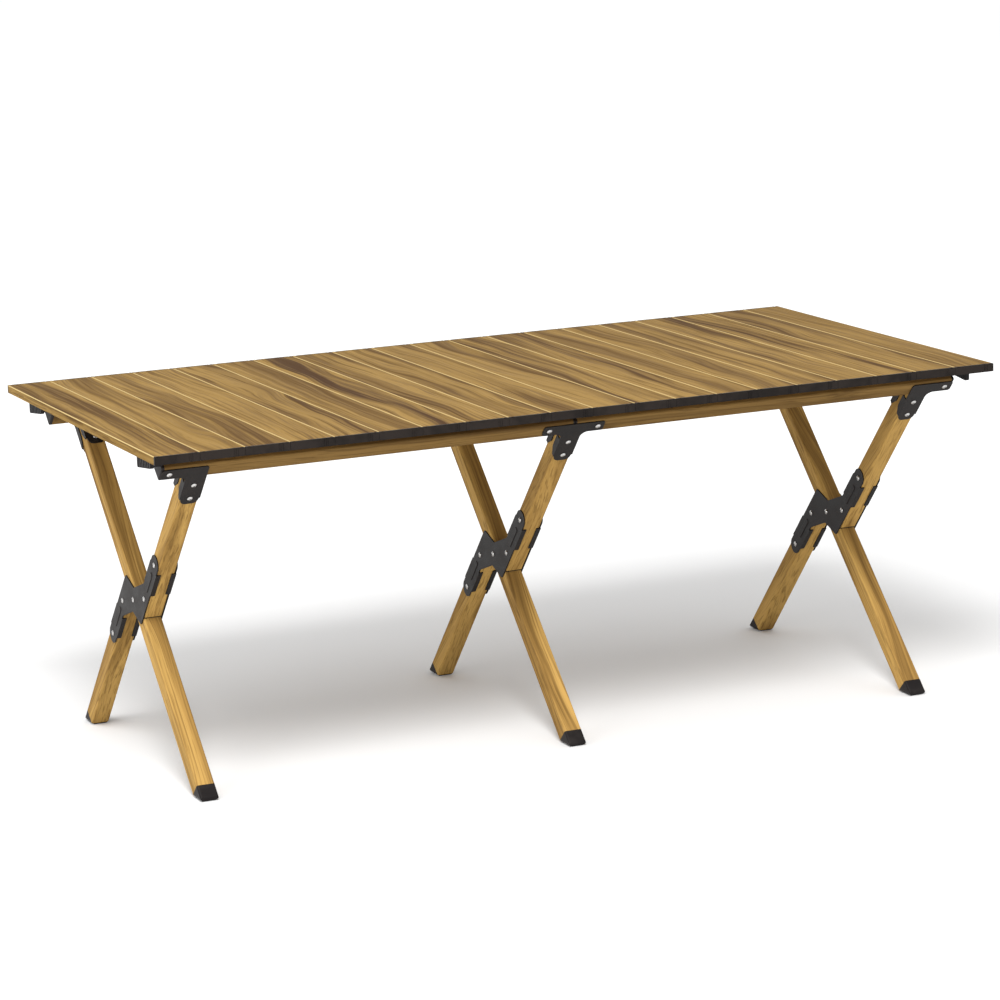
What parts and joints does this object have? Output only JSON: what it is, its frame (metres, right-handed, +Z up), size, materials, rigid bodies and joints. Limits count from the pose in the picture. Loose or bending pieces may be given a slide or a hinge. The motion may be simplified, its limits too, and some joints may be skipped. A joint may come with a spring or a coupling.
{
  "type": "folding picnic table",
  "caption": "Low folding picnic table with a roll-up top of wood-look slats on a crossed frame of square tubes with dark hub plates and black plastic feet.",
  "frame": {"origin": "on the floor under the middle of the table top", "axes": "+X along the table's long side, to the right seen from the front; -Y towards the front; +Z up"},
  "size_m": [1.1996, 0.622, 0.472],
  "materials": {
    "slat_film": "aluminium slat wrapped in satin wood-grain film",
    "tube_film": "aluminium tube wrapped in satin wood-grain film",
    "cap_plastic": "black moulded plastic with a fine grain",
    "clip_plastic": "black moulded plastic",
    "plate_paint": "dark satin powder coat on pressed sheet",
    "rivet_steel": "bright domed rivet heads"
  },
  "bodies": {
    "front_frame": {"front_rail_left": "tube_film", "front_rail_right": "tube_film", "front_rail_caps": "cap_plastic", "upper_half_legs": "tube_film", "lower_half_legs": "tube_film", "half_leg_end_caps": "cap_plastic", "hub_plates": "plate_paint", "front_brackets": "plate_paint", "rear_feet": "cap_plastic", "front_frame_rivets": "rivet_steel", "hub_pivot_pins": "rivet_steel"},
    "rear_frame": {"rear_rail_left": "tube_film", "rear_rail_right": "tube_film", "rear_rail_caps": "cap_plastic", "straight_legs": "tube_film", "rear_brackets": "plate_paint", "front_feet": "cap_plastic", "rear_frame_rivets": "rivet_steel"},
    "slat_01_body": {"slat_01": "slat_film", "end_caps_01": "cap_plastic", "top_clips_left": "clip_plastic"},
    "slat_02_body": {"slat_02": "slat_film", "end_caps_02": "cap_plastic"},
    "slat_03_body": {"slat_03": "slat_film", "end_caps_03": "cap_plastic"},
    "slat_04_body": {"slat_04": "slat_film", "end_caps_04": "cap_plastic"},
    "slat_05_body": {"slat_05": "slat_film", "end_caps_05": "cap_plastic"},
    "slat_06_body": {"slat_06": "slat_film", "end_caps_06": "cap_plastic"},
    "slat_07_body": {"slat_07": "slat_film", "end_caps_07": "cap_plastic"},
    "slat_08_body": {"slat_08": "slat_film", "end_caps_08": "cap_plastic"},
    "slat_09_body": {"slat_09": "slat_film", "end_caps_09": "cap_plastic"},
    "slat_10_body": {"slat_10": "slat_film", "end_caps_10": "cap_plastic"},
    "slat_11_body": {"slat_11": "slat_film", "end_caps_11": "cap_plastic"},
    "slat_12_body": {"slat_12": "slat_film", "end_caps_12": "cap_plastic"},
    "slat_13_body": {"slat_13": "slat_film", "end_caps_13": "cap_plastic"},
    "slat_14_body": {"slat_14": "slat_film", "end_caps_14": "cap_plastic"},
    "slat_15_body": {"slat_15": "slat_film", "end_caps_15": "cap_plastic"},
    "slat_16_body": {"slat_16": "slat_film", "end_caps_16": "cap_plastic"},
    "slat_17_body": {"slat_17": "slat_film", "end_caps_17": "cap_plastic"},
    "slat_18_body": {"slat_18": "slat_film", "end_caps_18": "cap_plastic"},
    "slat_19_body": {"slat_19": "slat_film", "end_caps_19": "cap_plastic"},
    "slat_20_body": {"slat_20": "slat_film", "end_caps_20": "cap_plastic", "top_clips_right": "clip_plastic"}
  },
  "joints": [
    {"name": "frame_fold", "type": "hinge", "parent": "front_frame", "child": "rear_frame", "pos_m": [0, 0, 0.222], "axis": [1, 0, 0], "range_deg": [0, 85]},
    {"name": "top_lift", "type": "slide", "parent": "front_frame", "child": "slat_01_body", "axis": [0, 0, 1], "range_m": [0, 0.375]},
    {"name": "roll_01_02", "type": "hinge", "parent": "slat_01_body", "child": "slat_02_body", "pos_m": [-0.54, 0, 0.472], "axis": [0, -1, 0], "range_deg": [0, 31.2]},
    {"name": "roll_02_03", "type": "hinge", "parent": "slat_02_body", "child": "slat_03_body", "pos_m": [-0.48, 0, 0.472], "axis": [0, -1, 0], "range_deg": [0, 31.95]},
    {"name": "roll_03_04", "type": "hinge", "parent": "slat_03_body", "child": "slat_04_body", "pos_m": [-0.42, 0, 0.472], "axis": [0, -1, 0], "range_deg": [0, 32.75]},
    {"name": "roll_04_05", "type": "hinge", "parent": "slat_04_body", "child": "slat_05_body", "pos_m": [-0.36, 0, 0.472], "axis": [0, -1, 0], "range_deg": [0, 33.6]},
    {"name": "roll_05_06", "type": "hinge", "parent": "slat_05_body", "child": "slat_06_body", "pos_m": [-0.3, 0, 0.472], "axis": [0, -1, 0], "range_deg": [0, 34.5]},
    {"name": "roll_06_07", "type": "hinge", "parent": "slat_06_body", "child": "slat_07_body", "pos_m": [-0.24, 0, 0.472], "axis": [0, -1, 0], "range_deg": [0, 35.5]},
    {"name": "roll_07_08", "type": "hinge", "parent": "slat_07_body", "child": "slat_08_body", "pos_m": [-0.18, 0, 0.472], "axis": [0, -1, 0], "range_deg": [0, 36.6]},
    {"name": "roll_08_09", "type": "hinge", "parent": "slat_08_body", "child": "slat_09_body", "pos_m": [-0.12, 0, 0.472], "axis": [0, -1, 0], "range_deg": [0, 37.8]},
    {"name": "roll_09_10", "type": "hinge", "parent": "slat_09_body", "child": "slat_10_body", "pos_m": [-0.06, 0, 0.472], "axis": [0, -1, 0], "range_deg": [0, 39.1]},
    {"name": "roll_10_11", "type": "hinge", "parent": "slat_10_body", "child": "slat_11_body", "pos_m": [0, 0, 0.472], "axis": [0, -1, 0], "range_deg": [0, 40.6]},
    {"name": "roll_11_12", "type": "hinge", "parent": "slat_11_body", "child": "slat_12_body", "pos_m": [0.06, 0, 0.472], "axis": [0, -1, 0], "range_deg": [0, 42.3]},
    {"name": "roll_12_13", "type": "hinge", "parent": "slat_12_body", "child": "slat_13_body", "pos_m": [0.12, 0, 0.472], "axis": [0, -1, 0], "range_deg": [0, 44.2]},
    {"name": "roll_13_14", "type": "hinge", "parent": "slat_13_body", "child": "slat_14_body", "pos_m": [0.18, 0, 0.472], "axis": [0, -1, 0], "range_deg": [0, 46.4]},
    {"name": "roll_14_15", "type": "hinge", "parent": "slat_14_body", "child": "slat_15_body", "pos_m": [0.24, 0, 0.472], "axis": [0, -1, 0], "range_deg": [0, 49]},
    {"name": "roll_15_16", "type": "hinge", "parent": "slat_15_body", "child": "slat_16_body", "pos_m": [0.3, 0, 0.472], "axis": [0, -1, 0], "range_deg": [0, 52.1]},
    {"name": "roll_16_17", "type": "hinge", "parent": "slat_16_body", "child": "slat_17_body", "pos_m": [0.36, 0, 0.472], "axis": [0, -1, 0], "range_deg": [0, 55.95]},
    {"name": "roll_17_18", "type": "hinge", "parent": "slat_17_body", "child": "slat_18_body", "pos_m": [0.42, 0, 0.472], "axis": [0, -1, 0], "range_deg": [0, 60.85]},
    {"name": "roll_18_19", "type": "hinge", "parent": "slat_18_body", "child": "slat_19_body", "pos_m": [0.48, 0, 0.472], "axis": [0, -1, 0], "range_deg": [0, 67.5]},
    {"name": "roll_19_20", "type": "hinge", "parent": "slat_19_body", "child": "slat_20_body", "pos_m": [0.54, 0, 0.472], "axis": [0, -1, 0], "range_deg": [0, 77.4]}
  ],
  "couplings": [
    {"joint": "frame_fold", "follows": "top_lift", "rad_per_m": 3.956},
    {"joint": "roll_02_03", "follows": "roll_01_02", "ratio": 1.0234},
    {"joint": "roll_03_04", "follows": "roll_01_02", "ratio": 1.0485},
    {"joint": "roll_04_05", "follows": "roll_01_02", "ratio": 1.0756},
    {"joint": "roll_05_06", "follows": "roll_01_02", "ratio": 1.1049},
    {"joint": "roll_06_07", "follows": "roll_01_02", "ratio": 1.1369},
    {"joint": "roll_07_08", "follows": "roll_01_02", "ratio": 1.1718},
    {"joint": "roll_08_09", "follows": "roll_01_02", "ratio": 1.2103},
    {"joint": "roll_09_10", "follows": "roll_01_02", "ratio": 1.253},
    {"joint": "roll_10_11", "follows": "roll_01_02", "ratio": 1.3006},
    {"joint": "roll_11_12", "follows": "roll_01_02", "ratio": 1.3544},
    {"joint": "roll_12_13", "follows": "roll_01_02", "ratio": 1.4157},
    {"joint": "roll_13_14", "follows": "roll_01_02", "ratio": 1.4865},
    {"joint": "roll_14_15", "follows": "roll_01_02", "ratio": 1.5696},
    {"joint": "roll_15_16", "follows": "roll_01_02", "ratio": 1.6694},
    {"joint": "roll_16_17", "follows": "roll_01_02", "ratio": 1.7924},
    {"joint": "roll_17_18", "follows": "roll_01_02", "ratio": 1.9498},
    {"joint": "roll_18_19", "follows": "roll_01_02", "ratio": 2.1631},
    {"joint": "roll_19_20", "follows": "roll_01_02", "ratio": 2.4801}
  ]
}
